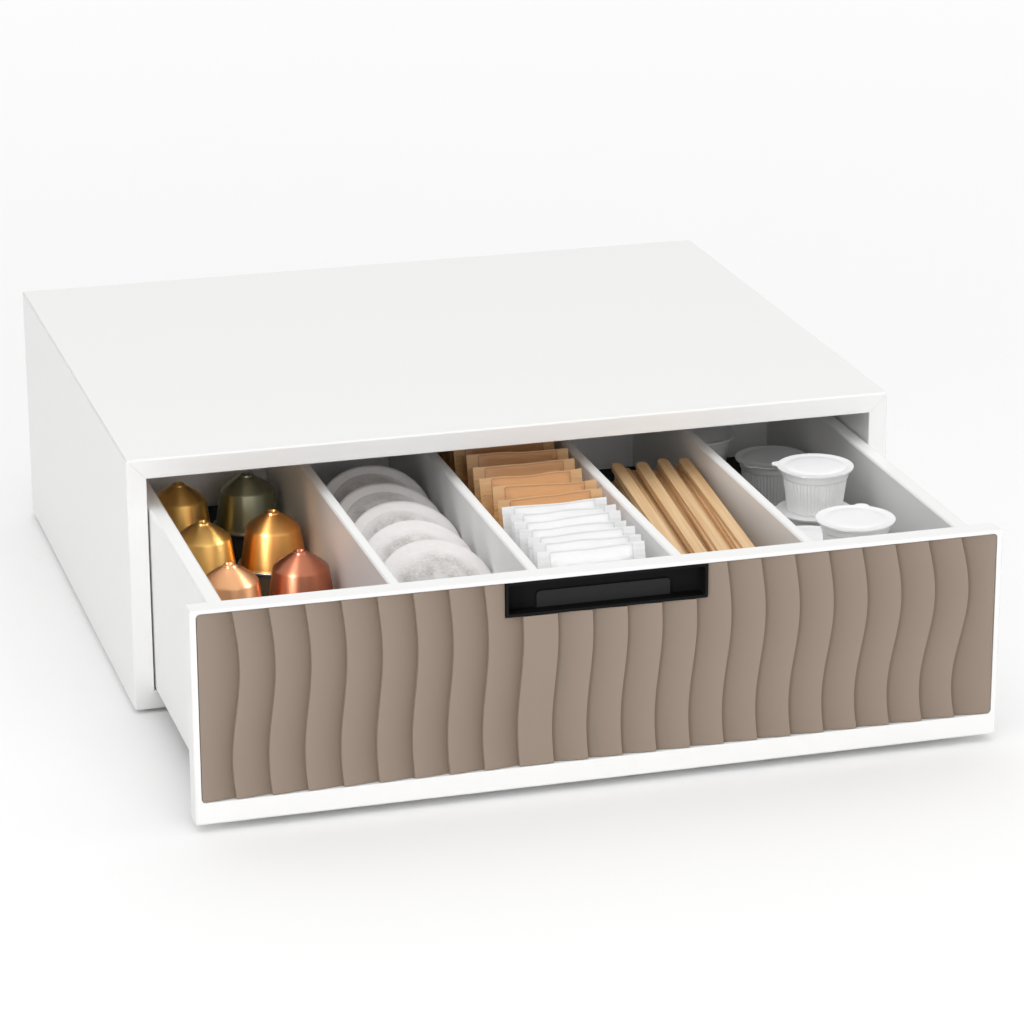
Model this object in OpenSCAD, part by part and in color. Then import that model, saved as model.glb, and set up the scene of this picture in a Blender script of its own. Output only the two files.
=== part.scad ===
// Countertop drawer for coffee capsules, pads, sachets, stirrers and creamer cups.
// Origin: middle of the footprint with the drawer in its rest position, on the surface
// that the feet stand on. +Z is up and the drawer opens towards -Y. Millimetres.

/* [Cabinet] */
// Width of the cabinet and of the drawer front
cab_w = 400; // [370:1:460]
// Depth of the cabinet
cab_d = 324; // [315:1:380]
// Height of the cabinet without its feet
cab_h = 132; // [128:1:150]
// Thickness of the four mitred boards
board_t = 10; // [8:0.5:14]
// Chamfer on the outer edges of cabinet and drawer front
edge_cut = 0.8; // [0.3:0.1:1.5]
// Thickness of the back panel
back_t = 6; // [4:0.5:8]
// How far the back panel is let into the boards
back_rebate = 5; // [3:0.5:6]
// Diameter of a foot
foot_d = 16; // [10:1:22]
// Height of a foot
foot_h = 2; // [1:0.5:5]
// Distance from the cabinet's sides to a foot's centre
foot_inset = 24; // [14:1:40]

/* [Drawer front] */
// Height of the drawer front
front_h = 106; // [98:1:112]
// Thickness of the drawer front
front_t = 12; // [11.5:0.5:18]
// Height of the drawer front's lower edge above the surface
front_lift = 4; // [2:0.5:6]
// White margin beside the relief panel
margin_side = 3; // [2:0.5:8]
// White margin above the relief panel
margin_top = 1.5; // [1:0.5:6]
// White margin below the relief panel
margin_low = 11; // [5:0.5:16]
// Depth of the pocket that holds the relief panel
pocket_depth = 5; // [4:0.5:6]
// Shadow gap round the relief panel
panel_gap = 0.4; // [0.2:0.1:1]

/* [Wave relief] */
// Number of waves across the panel
waves = 23; // [15:2:31]
// Height of a crest above the valley beside it
relief = 3; // [1:0.25:3.5]
// Sideways swing of the waves at the panel's left end
swing_left = 2.4; // [0:0.1:4]
// Sideways swing of the waves under the handle
swing_mid = 1.7; // [0:0.1:4]
// Sideways swing of the waves at the panel's right end
swing_right = 4; // [0:0.1:5]

/* [Handle cup] */
// Width of the handle cup
cup_w = 100; // [70:1:130]
// Height of the handle cup
cup_h = 17.5; // [15:0.5:24]
// Depth of the handle cup
cup_depth = 9.4; // [8:0.1:9.8]
// Wall of the handle cup
cup_wall = 1.4; // [1:0.1:2]
// Width of the raised finger pad on the cup's back wall
pad_w = 66; // [40:1:80]
// Height of the raised finger pad
pad_h = 8; // [5:0.5:11]
// Thickness of the raised finger pad
pad_t = 1.2; // [0.5:0.1:2]

/* [Drawer box] */
// Distance the drawer stands open at rest
rest_open = 143; // [60:1:150]
// Further distance it can still be pulled out
more_open = 37; // [10:1:40]
// Outer length of the box behind the front
box_len = 281; // [270:1:290]
// Thickness of the box's sides and back
box_wall = 8; // [6:0.5:10]
// Gap between the box's sides and the cabinet
box_gap = 1; // [0.5:0.1:3]
// How far the box's walls stay below the front's upper edge
wall_drop = 2; // [0:0.5:6]
// Height of the floor's underside above the cabinet's bottom board
floor_up = 44; // [42:0.5:48]
// Thickness of the drawer's floor
floor_t = 5; // [3:0.5:6]
// Depth of the grooves that hold the floor
floor_groove = 3; // [1:0.5:4]
// Thickness of the dark liner on the floor
liner_t = 1; // [0.5:0.1:2]
// Thickness of a divider
div_t = 5.5; // [3:0.5:8]
// Depth of the grooves that hold the dividers' ends
div_groove = 1.5; // [1:0.25:2]
// Play of a divider in its grooves
div_play = 0.1; // [0.05:0.05:0.3]
// Part of the inner width that the first bay takes, for capsules
share_1 = 79; // [70:1:90]
// Part of the inner width that the second bay takes, for pads
share_2 = 62; // [55:1:75]
// Part of the inner width that the third bay takes, for sachets
share_3 = 66; // [60:1:75]
// Part of the inner width that the fourth bay takes, for stirrers
share_4 = 61; // [55:1:70]
// Part of the inner width that the fifth bay takes, for creamer cups
share_5 = 72; // [65:1:85]

/* [Runners] */
// Length of a ball-bearing runner
run_len = 250; // [240:1:255]
// Height of a runner
run_h = 35; // [32:0.5:37]
// Thickness of a runner, from batten to drawer side
run_w = 10; // [9.5:0.5:12]
// Sheet thickness of a runner
run_sheet = 1.2; // [1:0.1:1.5]
// Diameter of a bearing ball
ball_d = 4.4; // [4:0.1:4.6]
// Number of balls in one row of a ball cage
balls = 6; // [3:1:7]
// Spacing of the balls
ball_pitch = 11; // [8:0.5:12]
// Running clearance between the runner's members, balls and cage
run_clear = 0.3; // [0.2:0.05:0.5]
// Thickness of the batten that carries a runner
batten_t = 12; // [10:1:16]
// Height of the batten
batten_h = 38; // [37:0.5:40]

/* [Contents] */
// Height of a coffee capsule
cap_h = 29; // [27:0.5:31]
// Width that the first bay has to spare beside two capsules
cap_room = 5; // [2:0.5:8]
// Width that the second bay has to spare beside a pad
pad_gap = 3; // [2:0.5:12]
// Thickness of a coffee pad
pad_thick = 10; // [6:0.5:13]
// Lean of the coffee pads from upright, degrees
pad_lean = 51; // [45:1:58]
// Width that the third bay has to spare beside a sachet
sachet_gap = 12; // [6:0.5:20]
// Height of a sachet
sachet_h = 50; // [40:1:52]
// Lean of the sachets from upright, degrees
sachet_lean = 16; // [10:1:20]
// Length of a stirrer
stir_len = 155; // [140:1:178]
// Width of a stirrer
stir_w = 6; // [5:0.5:6.5]
// Thickness of a stirrer
stir_t = 2; // [1:0.1:2.2]
// Height of a creamer cup without its lid
tub_h = 23; // [20:0.5:25]
// Diameter over a creamer cup's lid
tub_d = 39; // [34:0.5:40]

/* [Hidden] */
$fn = 48;

eps = 0.01;
face_y = -(cab_d - rest_open - front_t) / 2;   // the cabinet's front edge
rear_y = face_y + cab_d;                       // the cabinet's rear edge
box_y = face_y - rest_open;                    // the drawer front's back face
top_z = foot_h + cab_h;
deck_z = foot_h + board_t;                     // upper face of the bottom board
front_top = front_lift + front_h;
wall_top = front_top - wall_drop;
wall_low = deck_z + box_gap;
half_out = cab_w / 2 - board_t - box_gap;      // outer face of a drawer side
half_in = half_out - box_wall;                 // inner face of a drawer side
floor_z = deck_z + floor_up;
liner_z = floor_z + floor_t;
bed_z = liner_z + liner_t;                     // what the contents stand on
bay_end = box_y + box_len - box_wall;          // inner face of the drawer's back
rest_gap = 0.3;                                // small clearance of loose pieces

depth = bay_end - box_y;                       // of a bay, from front to back
shares = [share_1, share_2, share_3, share_4, share_5];
share_sum = share_1 + share_2 + share_3 + share_4 + share_5;
function bay_w(i) = shares[i] / share_sum * (2*half_in - 4*div_t);
function bay_left(i) = i == 0 ? -half_in : bay_right(i - 1) + div_t;
function bay_right(i) = bay_left(i) + bay_w(i);
function bay_mid(i) = (bay_left(i) + bay_right(i)) / 2;

white = "white";
steel = "silver";

// ---- cabinet -------------------------------------------------------------------------

// Outline of a rectangle with cut corners, centred on the origin
module cut_rect(w, h, c) {
    polygon([[-w/2 + c, -h/2], [w/2 - c, -h/2], [w/2, -h/2 + c], [w/2, h/2 - c],
        [w/2 - c, h/2], [-w/2 + c, h/2], [-w/2, h/2 - c], [-w/2, -h/2 + c]]);
}

// Box from corner (-w/2, 0, 0) to (w/2, d, h) with all its edges chamfered
module cut_box(w, d, h, c) {
    translate([0, d/2, h/2]) intersection() {
        translate([0, 0, -h/2]) linear_extrude(h) cut_rect(w, d, c);
        translate([0, d/2, 0]) rotate([90, 0, 0]) linear_extrude(d) cut_rect(w, h, c);
        translate([-w/2, 0, 0]) rotate([90, 0, 90]) linear_extrude(w) cut_rect(d, h, c);
    }
}

// One mitred board of the cabinet's ring: turn 0 is the top, 90 the left side and so on
module ring_board(turn) {
    long = turn % 180 == 0 ? cab_w : cab_h;
    out = turn % 180 == 0 ? cab_h / 2 : cab_w / 2;
    difference() {
        intersection() {
            translate([0, face_y, foot_h]) cut_box(cab_w, cab_d, cab_h, edge_cut);
            translate([0, rear_y + 1, foot_h + cab_h/2]) rotate([90, 0, 0]) rotate([0, 0, turn])
                linear_extrude(cab_d + 2) polygon([[-long/2, out], [long/2, out],
                    [long/2 - board_t, out - board_t], [-long/2 + board_t, out - board_t]]);
        }
        back_space(0);
    }
}

// Space of the back panel, smaller all round by a fit
module back_space(fit) {
    w = cab_w - 2*board_t + 2*back_rebate - 2*fit;
    h = cab_h - 2*board_t + 2*back_rebate - 2*fit;
    translate([-w/2, rear_y - back_t, foot_h + cab_h/2 - h/2]) cube([w, back_t + (fit == 0 ? 1 : 0), h]);
}

back_screw_len = 16;
back_screw_d = 2.4;
back_head_d = 4.2;
back_head_t = 1;
back_screw_edge = 2.5;
back_screw_at = [for (x = [-1, -1/3, 1/3, 1], z = [-1, 1])
    [x * (cab_w/2 - board_t + back_screw_edge), foot_h + cab_h/2 + z * (cab_h/2 - board_t + back_screw_edge)]];

module back_screw_shapes(extra) {
    for (p = back_screw_at) translate([p[0], rear_y, p[1]]) rotate([90, 0, 0]) {
        cylinder(d = back_head_d + extra, h = back_head_t);
        cylinder(d = back_screw_d, h = back_screw_len);
    }
}

module cabinet_top() color(white) difference() { ring_board(0); back_screw_shapes(0); }
module cabinet_left_side() color(white) difference() { ring_board(90); back_screw_shapes(0); }
module cabinet_bottom() color(white) difference() {
    ring_board(180);
    back_screw_shapes(0);
    batten_screw_shapes();
}
module cabinet_right_side() color(white) difference() { ring_board(270); back_screw_shapes(0); }
module cabinet_back() color(white) difference() { back_space(0.2); back_screw_shapes(0); }
module back_panel_screws() color(steel) back_screw_shapes(0);

module cabinet_feet() color("dimgray")
    for (x = [-1, 1], y = [face_y + foot_inset, rear_y - foot_inset])
        translate([x * (cab_w/2 - foot_inset), y, 0]) cylinder(d = foot_d, h = foot_h);

// ---- runners -------------------------------------------------------------------------

run_front = face_y + 5;                        // front end of the cabinet's member
run_mid_z = deck_z + batten_h / 2;             // middle height of a runner
batten_x = half_in - run_w;                    // face of the batten that the runner is on
race_out = run_h/2 - run_sheet;                // ball race of the outer member
race_in = race_out - ball_d - 2*run_clear;     // ball race of the inner member
ball_v = (race_out + race_in) / 2;
ball_u = run_w / 2;
lip_u = ball_u + ball_d/2 + run_clear;         // lip that keeps the balls in
cage_u = run_sheet + run_clear;
cage_t = 0.6;
closed_mid = run_front + run_len / 2;
cage_len = (balls - 1) * ball_pitch + 9;
cage_y = closed_mid - rest_open / 2;           // middle of a ball cage at rest
run_screw_d = 3;
run_head_d = 6;
run_screw_y = [0.1*run_len, 0.5*run_len, 0.9*run_len];
batten_screw_y = [0.12*run_len, 0.5*run_len, 0.88*run_len];

// Left-hand runner coordinates: u from the batten towards the drawer side, v up
module on_runner(side) {
    mirror([side < 0 ? 0 : 1, 0, 0]) translate([-batten_x, 0, run_mid_z]) mirror([1, 0, 0]) children();
}

// Extrudes an outline of u and v along Y
module along_y(y, len) translate([0, y + len, 0]) rotate([90, 0, 0]) linear_extrude(len) children();

// Left-hand runner outline, given by its upper half and mirrored to the lower one
function both_halves(half) = concat(half, [for (i = [len(half) - 1 : -1 : 0]) [half[i][0], -half[i][1]]]);

module outer_member() difference() {
    along_y(run_front, run_len) polygon(both_halves([[run_sheet, race_out], [lip_u, race_out],
        [lip_u, ball_v - 0.6], [lip_u + run_sheet, ball_v - 0.6], [lip_u + run_sheet, run_h/2], [0, run_h/2]]));
    for (y = run_screw_y) translate([0, run_front + y, 0]) rotate([0, 90, 0])
        translate([0, 0, -1]) cylinder(d = run_head_d, h = run_sheet + 2);
}

module inner_member() {
    y = run_front - rest_open;
    in_u = cage_u + cage_t + run_clear;
    difference() {
        along_y(y, run_len) polygon(both_halves([[run_w - run_sheet, race_in - run_sheet],
            [in_u, race_in - run_sheet], [in_u, race_in], [run_w, race_in]]));
        for (s = run_screw_y) translate([0, y + s, 0]) rotate([0, 90, 0])
            cylinder(d = run_head_d, h = run_w + 1);
    }
}

module cage() difference() {
    along_y(cage_y - cage_len/2, cage_len) polygon(both_halves([[cage_u + cage_t, ball_v - cage_t/2],
        [lip_u - run_clear, ball_v - cage_t/2], [lip_u - run_clear, ball_v + cage_t/2], [cage_u, ball_v + cage_t/2]]));
    for (i = [0 : balls - 1]) translate([ball_u, cage_y + (i - (balls - 1)/2) * ball_pitch, 0])
        cylinder(d = ball_d + run_clear, h = run_h, center = true);
}

module ball_rows() {
    for (i = [0 : balls - 1], v = [-1, 1])
        translate([ball_u, cage_y + (i - (balls - 1)/2) * ball_pitch, v * ball_v]) sphere(d = ball_d);
}

outer_screw_len = 9;
inner_screw_len = 6;
module outer_screws() {
    for (y = run_screw_y) translate([0, run_front + y, 0]) {
        rotate([0, 90, 0]) cylinder(d = run_head_d - 0.2, h = run_sheet);
        rotate([0, -90, 0]) cylinder(d = run_screw_d, h = outer_screw_len);
    }
}
module inner_screws() {
    for (y = run_screw_y) translate([run_w, run_front - rest_open + y, 0]) {
        rotate([0, -90, 0]) cylinder(d = run_head_d - 0.2, h = run_sheet);
        rotate([0, 90, 0]) cylinder(d = run_screw_d, h = inner_screw_len);
    }
}

batten_screw_len = 26;
batten_screw_d = 3.5;
batten_head_d = 7;
batten_head_t = 2;
module batten_screw_shapes() {
    for (x = [-1, 1], y = batten_screw_y)
        translate([x * (batten_x - batten_t/2), run_front + y, foot_h]) {
            cylinder(d = batten_head_d, h = batten_head_t);
            cylinder(d = batten_screw_d, h = batten_screw_len);
        }
}

module batten(side) difference() {
    translate([side < 0 ? -batten_x : batten_x - batten_t, run_front, deck_z])
        cube([batten_t, run_len + 5, batten_h]);
    on_runner(side) outer_screws();
    batten_screw_shapes();
}

module runner_batten_left() color("burlywood") batten(-1);
module runner_batten_right() color("burlywood") batten(1);
module batten_screws() color(steel) batten_screw_shapes();
module runner_outer_left() color(steel) on_runner(-1) outer_member();
module runner_outer_right() color(steel) on_runner(1) outer_member();
module outer_runner_screws() color(steel) { on_runner(-1) outer_screws(); on_runner(1) outer_screws(); }
module ball_cage_left() color("gold") on_runner(-1) cage();
module ball_cage_right() color("gold") on_runner(1) cage();
module bearing_balls_left() color(steel) on_runner(-1) ball_rows();
module bearing_balls_right() color(steel) on_runner(1) ball_rows();
module runner_inner_left() color(steel) on_runner(-1) inner_member();
module runner_inner_right() color(steel) on_runner(1) inner_member();
module inner_runner_screws() color(steel) { on_runner(-1) inner_screws(); on_runner(1) inner_screws(); }

// ---- drawer front --------------------------------------------------------------------

front_y = box_y - front_t;                     // the front's visible face
pocket_w = cab_w - 2*margin_side;
pocket_low = front_lift + margin_low;
pocket_top = front_top - margin_top;
pocket_r = 2;
cup_fit = 0.15;

// Rounded rectangle standing in the X-Z plane, extruded back from y
module plate(w, z0, z1, y, d, r) {
    translate([0, y + d, (z0 + z1)/2]) rotate([90, 0, 0]) linear_extrude(d)
        rounded(w, z1 - z0, r);
}
module rounded(w, h, r) {
    square([w - 2*r, h], center = true);
    square([w, h - 2*r], center = true);
    for (x = [-1, 1], y = [-1, 1]) translate([x*(w/2 - r), y*(h/2 - r)]) circle(r);
}

module drawer_front() color(white) difference() {
    translate([0, front_y, front_lift]) cut_box(cab_w, front_t, front_h, edge_cut);
    plate(pocket_w, pocket_low, pocket_top, front_y - 1, pocket_depth + 1, pocket_r);
    plate(cup_w, pocket_top - cup_h, pocket_top, front_y - 1, cup_depth + 1, 1);
    for (i = [0 : 3]) divider_space(i, div_play);
}

// Relief of the panel: the crest of each wave points away from the handle
panel_w = pocket_w - 2*panel_gap;
panel_low = pocket_low + panel_gap;
panel_top = pocket_top - panel_gap;
panel_back = front_y + pocket_depth;
crest_y = front_y + 0.3;                       // crests stay just behind the white margin
notch_x = cup_w/2 + cup_fit;                   // half width of the notch for the handle cup
notch_z = pocket_top - cup_h - cup_fit;
notch_t = (notch_z - panel_low) / (panel_top - panel_low);
low_rows = 12;                                 // rows of points below the notch's lower edge
all_rows = 16;
wave_cols = 5;
wave_len = 1.02;                               // wavelength of the sideways swing, in panel heights
wave_peak = 0.3;                               // how far down the first bulge lies, in panel heights
mid_wave = (waves - 1) / 2 - 2;                // the wave where the crests change sides
step_w = 0.4;                                  // width of the steep step between two waves
notch_play = 0.8;                              // least distance of a wave's edge from the notch

// Swing of a wave edge at x, a curve through the three named swings
function swing(x) = let (s = 2 * x / panel_w)
    swing_mid + s * (swing_right - swing_left) / 2 + s*s * ((swing_right + swing_left)/2 - swing_mid);
// X of wave edge i at height t, where t is 0 at the bottom and 1 at the top
function free_edge(i, t) = let (x = -panel_w/2 + i * panel_w / waves)
    i == 0 || i == waves ? x : x + swing(x) * cos(360 * (1 - t - wave_peak) / wave_len);
left_wave = max([for (i = [0 : waves]) if (free_edge(i, notch_t) < -notch_x) i]);
right_wave = min([for (i = [0 : waves]) if (free_edge(i, notch_t) > notch_x) i]) - 1;
function edge_x(i, t) = i == left_wave ? min(free_edge(i, t), -notch_x - notch_play)
    : i == right_wave + 1 ? max(free_edge(i, t), notch_x + notch_play) : free_edge(i, t);
// The two sides of wave i, half a step in from its edges
function start_x(i, t) = edge_x(i, t) + (i == 0 ? 0 : step_w/2);
function stop_x(i, t) = edge_x(i + 1, t) - (i == waves - 1 ? 0 : step_w/2);
function share(i, x, t) = (x - start_x(i, t)) / (stop_x(i, t) - start_x(i, t));
// Depth below the crest at share u of wave i
function dip(i, u) = i < mid_wave ? relief * pow(u, 1.7)
    : i > mid_wave ? relief * pow(1 - u, 1.7) : 0;
left_u = share(left_wave, -notch_x, notch_t);
right_u = share(right_wave, notch_x, notch_t);

// Point of wave i at share u; above the notch's edge the columns of the waves beside it crowd together
function wave_x(i, u, t) = t <= notch_t || (i != left_wave && i != right_wave)
    ? start_x(i, t) * (1 - u) + stop_x(i, t) * u
    : i == left_wave ? start_x(i, t) + u / left_u * (-notch_x - start_x(i, t))
    : stop_x(i, t) - (1 - u) / (1 - right_u) * (stop_x(i, t) - notch_x);
function wave_point(i, u, t) = let (x = wave_x(i, u, t))
    [x, crest_y + dip(i, min(1, max(0, share(i, x, t)))), panel_low + t * (panel_top - panel_low)];
function back_point(i, u, t) = let (p = wave_point(i, u, t)) [p[0], panel_back, p[2]];

// Columns of points as [wave, share], with one more column at each side of the notch
function wave_shares(i) = let (cut = i == left_wave ? left_u : i == right_wave ? right_u : -1,
        even = [for (c = [0 : wave_cols]) if (abs(c / wave_cols - cut) > 0.05) c / wave_cols])
    cut < 0 ? even : concat([for (u = even) if (u < cut) u], [cut], [for (u = even) if (u > cut) u]);
wave_at = [for (i = [0 : waves - 1], u = wave_shares(i)) [i, u]];

// Two triangles for the face a b c d, seen from outside with d above a and c above b
function quad(a, b, c, d) = [[a, c, b], [a, d, c]];
function seq(a, b) = [for (k = [a : 1 : b]) k];

module wave_panel() color("rosybrown") {
    n = len(wave_at);
    cl = [for (c = [0 : n - 1]) if (wave_at[c] == [left_wave, left_u]) c][0];
    cr = [for (c = [0 : n - 1]) if (wave_at[c] == [right_wave, right_u]) c][0];
    beside = concat(seq(0, cl), seq(cr, n - 1)); // columns that reach the panel's upper edge
    m = len(beside);
    level = [for (r = [0 : all_rows]) r <= low_rows ? notch_t * r / low_rows
        : notch_t + (1 - notch_t) * (r - low_rows) / (all_rows - low_rows)];
    low = [for (r = [0 : low_rows], w = wave_at) wave_point(w[0], w[1], level[r])];
    high = [for (r = [low_rows + 1 : all_rows], c = beside) wave_point(wave_at[c][0], wave_at[c][1], level[r])];
    back = concat([for (t = [0, notch_t], w = wave_at) back_point(w[0], w[1], t)],
        [for (c = beside) back_point(wave_at[c][0], wave_at[c][1], 1)]);
    col = function(c) c <= cl ? c : c - cr + cl + 1;
    f = function(r, c) r <= low_rows ? r*n + c : len(low) + (r - low_rows - 1)*m + col(c);
    b = function(q, c) len(low) + len(high) + (q < 2 ? q*n + c : 2*n + col(c));
    left_fan = function(c, q, r0, r1) concat([for (r = [r0 : r1 - 1]) [b(q, c), f(r + 1, c), f(r, c)]],
        [[b(q, c), b(q + 1, c), f(r1, c)]]);
    right_fan = function(c, q, r0, r1) concat([for (r = [r0 : r1 - 1]) [b(q, c), f(r, c), f(r + 1, c)]],
        [[b(q, c), f(r1, c), b(q + 1, c)]]);
    steps = concat(seq(0, cl - 1), seq(cr, n - 2));
    polyhedron(points = concat(low, high, back), convexity = 10, faces = concat(
        [for (r = [0 : low_rows - 1], c = [0 : n - 2]) each quad(f(r, c), f(r, c + 1), f(r + 1, c + 1), f(r + 1, c))],
        [for (r = [low_rows : all_rows - 1], c = steps)
            each quad(f(r, c), f(r, c + 1), f(r + 1, c + 1), f(r + 1, c))],
        [for (c = [0 : n - 2]) each quad(b(0, c), b(0, c + 1), f(0, c + 1), f(0, c))],
        [for (c = steps) each quad(f(all_rows, c), f(all_rows, c + 1), b(2, c + 1), b(2, c))],
        [for (c = [cl : cr - 1]) each quad(f(low_rows, c), f(low_rows, c + 1), b(1, c + 1), b(1, c))],
        [for (c = [0 : n - 2]) each quad(b(1, c), b(1, c + 1), b(0, c + 1), b(0, c))],
        [for (c = steps) each quad(b(2, c), b(2, c + 1), b(1, c + 1), b(1, c))],
        left_fan(0, 0, 0, low_rows), left_fan(0, 1, low_rows, all_rows), left_fan(cr, 1, low_rows, all_rows),
        right_fan(n - 1, 0, 0, low_rows), right_fan(n - 1, 1, low_rows, all_rows),
        right_fan(cl, 1, low_rows, all_rows)));
}

module handle_cup() color([0.08, 0.08, 0.08]) {
    w = cup_w - 2*cup_fit;
    z0 = pocket_top - cup_h + cup_fit;
    z1 = pocket_top - cup_fit;
    back_y = front_y + cup_depth - cup_wall;
    difference() {
        plate(w, z0, z1, front_y + 0.2, cup_depth - 0.2, 1);
        plate(w - 2*cup_wall, z0 + cup_wall, z1 - cup_wall, front_y - 1,
            cup_depth - cup_wall + 1, 1);
    }
    translate([0, back_y + eps, z0 + cup_wall - eps]) rotate([90, 0, 0]) linear_extrude(pad_t + eps) {
        translate([-pad_w/2, 0]) square([pad_w, pad_h - 2]);
        translate([-pad_w/2 + 2, 0]) square([pad_w - 4, pad_h]);
        for (x = [-1, 1]) translate([x*(pad_w/2 - 2), pad_h - 2]) circle(2);
    }
}

// ---- drawer box ----------------------------------------------------------------------

wall_cut = 0.8;                                // chamfer along a wall's upper edges

// Wall section of width t between two heights, its upper edges chamfered
module wall_section(t, z0, z1) polygon([[0, z0], [t, z0], [t, z1 - wall_cut], [t - wall_cut, z1],
    [wall_cut, z1], [0, z1 - wall_cut]]);

module side_wall(side) difference() {
    along_y(box_y, box_len) mirror([side < 0 ? 1 : 0, 0]) translate([half_in, 0])
        wall_section(box_wall, wall_low, wall_top);
    floor_space(0);
    on_runner(side) inner_screws();
}

module floor_space(fit) translate([-half_in - floor_groove + fit, box_y, floor_z])
    cube([2*(half_in + floor_groove - fit), box_len - box_wall, floor_t]);

module divider_space(i, play) translate([bay_left(i + 1) - div_t - play, box_y - div_groove, bed_z])
    cube([div_t + 2*play, box_len - box_wall + 2*div_groove, wall_top - bed_z + 1]);

module drawer_left_side() color(white) side_wall(-1);
module drawer_right_side() color(white) side_wall(1);
module drawer_back() color(white) difference() {
    translate([-half_in, bay_end, 0]) rotate([90, 0, 90]) linear_extrude(2*half_in)
        wall_section(box_wall, deck_z + batten_h + 2.5, wall_top);
    for (i = [0 : 3]) divider_space(i, div_play);
}
module drawer_floor() color(white) floor_space(0.2);
module floor_liner() color([0.12, 0.12, 0.12])
    translate([-half_in + 0.3, box_y + 0.3, liner_z]) cube([2*half_in - 0.6, box_len - box_wall - 0.6, liner_t]);

module divider(i) color(white) {
    reach = div_groove - div_play;
    along_y(box_y - reach, box_len - box_wall + 2*reach) translate([bay_left(i + 1) - div_t, 0])
        wall_section(div_t, bed_z, wall_top);
}
module divider_1() divider(0);
module divider_2() divider(1);
module divider_3() divider(2);
module divider_4() divider(3);

// ---- contents ------------------------------------------------------------------------

// Places of the capsules in the left and the right column, as parts of the depth from the drawer's back
cap_rows = [[0.161, 0.392, 0.634], [0.139, 0.37, 0.601]];
cap_rim_d = (bay_w(0) - cap_room) / 2;
foil_t = 0.3;
cap_pitch = cap_rim_d + rest_gap;
function cap_place(col, row) =
    [bay_right(0) - rest_gap - cap_rim_d/2 - (1 - col)*cap_pitch, bay_end - cap_rows[col][row]*depth, bed_z];

module capsule(col, row) translate(cap_place(col, row)) {
    r = cap_rim_d / 2;
    body = r * 0.86;
    shoulder = r * 0.74;
    shoulder_z = cap_h * 0.74;
    rotate_extrude() polygon([[0, foil_t], [r - 0.8, foil_t], [r - 0.8, 0], [r - 0.2, 0], [r, 0.4], [r, 1.2],
        [r - 0.4, 1.6], [r - 1, 1.4], [body + 0.4, 1.2], [body, 1.8], [body, 3], [shoulder + 0.3, shoulder_z - 0.8],
        [shoulder, shoulder_z], [3.3, cap_h - 0.8], [2.6, cap_h], [1.7, cap_h], [1.3, cap_h - 0.9], [0, cap_h - 0.9]]);
}
module capsule_back_left() color("goldenrod") capsule(0, 0);
module capsule_back_right() color("darkslategray") capsule(1, 0);
module capsule_mid_left() color("goldenrod") capsule(0, 1);
module capsule_mid_right() color("peru") capsule(1, 1);
module capsule_front_left() color("chocolate") capsule(0, 2);
module capsule_front_right() color("sienna") capsule(1, 2);
module capsule_foils() color(steel) for (col = [0, 1], row = [0 : 2])
    translate(cap_place(col, row)) cylinder(d = cap_rim_d - 1.6, h = foil_t);

// Coffee pads lean back in a row; pad 0 is the rearmost
pads = 5;
pad_rim_t = 0.6;
pad_first = 0.25*depth;                        // from the drawer's back to the rearmost pad's upper edge
pad_step = 0.112*depth;
pad_d = bay_w(1) - pad_gap;
pad_slack = pad_gap/2 - rest_gap;
module coffee_pads() color("gainsboro") for (i = [0 : pads - 1])
    translate([bay_mid(1) + pad_slack*(i % 2 == 0 ? 1 : 0.3), bay_end - pad_first - pad_d*sin(pad_lean) - i*pad_step,
        bed_z + pad_foot()]) rotate([-pad_lean, 0, 0]) translate([0, 0, pad_d/2]) rotate([90, 0, 0])
        rotate_extrude() polygon([[0, -pad_thick/2], [pad_d*0.22, -pad_thick/2], [pad_d*0.34, -pad_thick*0.36],
            [pad_d*0.4, -pad_rim_t/2], [pad_d/2, -pad_rim_t/2], [pad_d/2, pad_rim_t/2],
            [pad_d*0.4, pad_rim_t/2], [pad_d*0.34, pad_thick*0.36], [pad_d*0.22, pad_thick/2], [0, pad_thick/2]]);
// Lift that puts a leaning pad's lowest point on the liner
function pad_foot() = max([for (p = [[pad_d/2, pad_rim_t/2], [pad_d*0.34, pad_thick*0.36], [pad_d*0.22, pad_thick/2]])
    p[1]*sin(pad_lean) - (pad_d/2 - p[0])*cos(pad_lean)]) + 0.05;

sachet_w = bay_w(2) - sachet_gap;
// A sachet: flat crimped border with a filled middle, standing on its lower edge
module sachet(bulge) hull() {
    translate([-sachet_w/2, -0.4, 0]) cube([sachet_w, 0.8, sachet_h]);
    translate([-sachet_w/2 + 7, -bulge/2, 9]) cube([sachet_w - 14, bulge, sachet_h - 22]);
}
// Sachets i0 to i1 of the row; each is a little further from the bay's right side than the one behind it
module sachet_row(first, i0, i1, step, bulge) {
    slack = sachet_gap/2 - 0.5;
    for (i = [i0 : i1]) translate([bay_mid(2) + slack*(0.85 - 1.1*i/(sachets - 1) + 0.12*((i*2) % 3 - 1)),
        first - (i - i0)*step, bed_z + 0.4]) rotate([-sachet_lean, 0, 0]) sachet(bulge);
}
brown_count = 9;
brown_step = 0.0652*depth;
white_count = 7;
white_step = 0.041*depth;
kind_step = 0.0455*depth;                      // from the last brown to the first white sachet
sachets = brown_count + white_count;
white_last = box_y + 0.03*depth;               // foot of the frontmost sachet
white_first = white_last + (white_count - 1)*white_step;
brown_first = white_first + kind_step + (brown_count - 1)*brown_step;
module brown_sachets() color("peru") sachet_row(brown_first, 0, brown_count - 1, brown_step, 10);
module white_sachets() color(white) sachet_row(white_first, brown_count, sachets - 1, white_step, 8);

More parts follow.
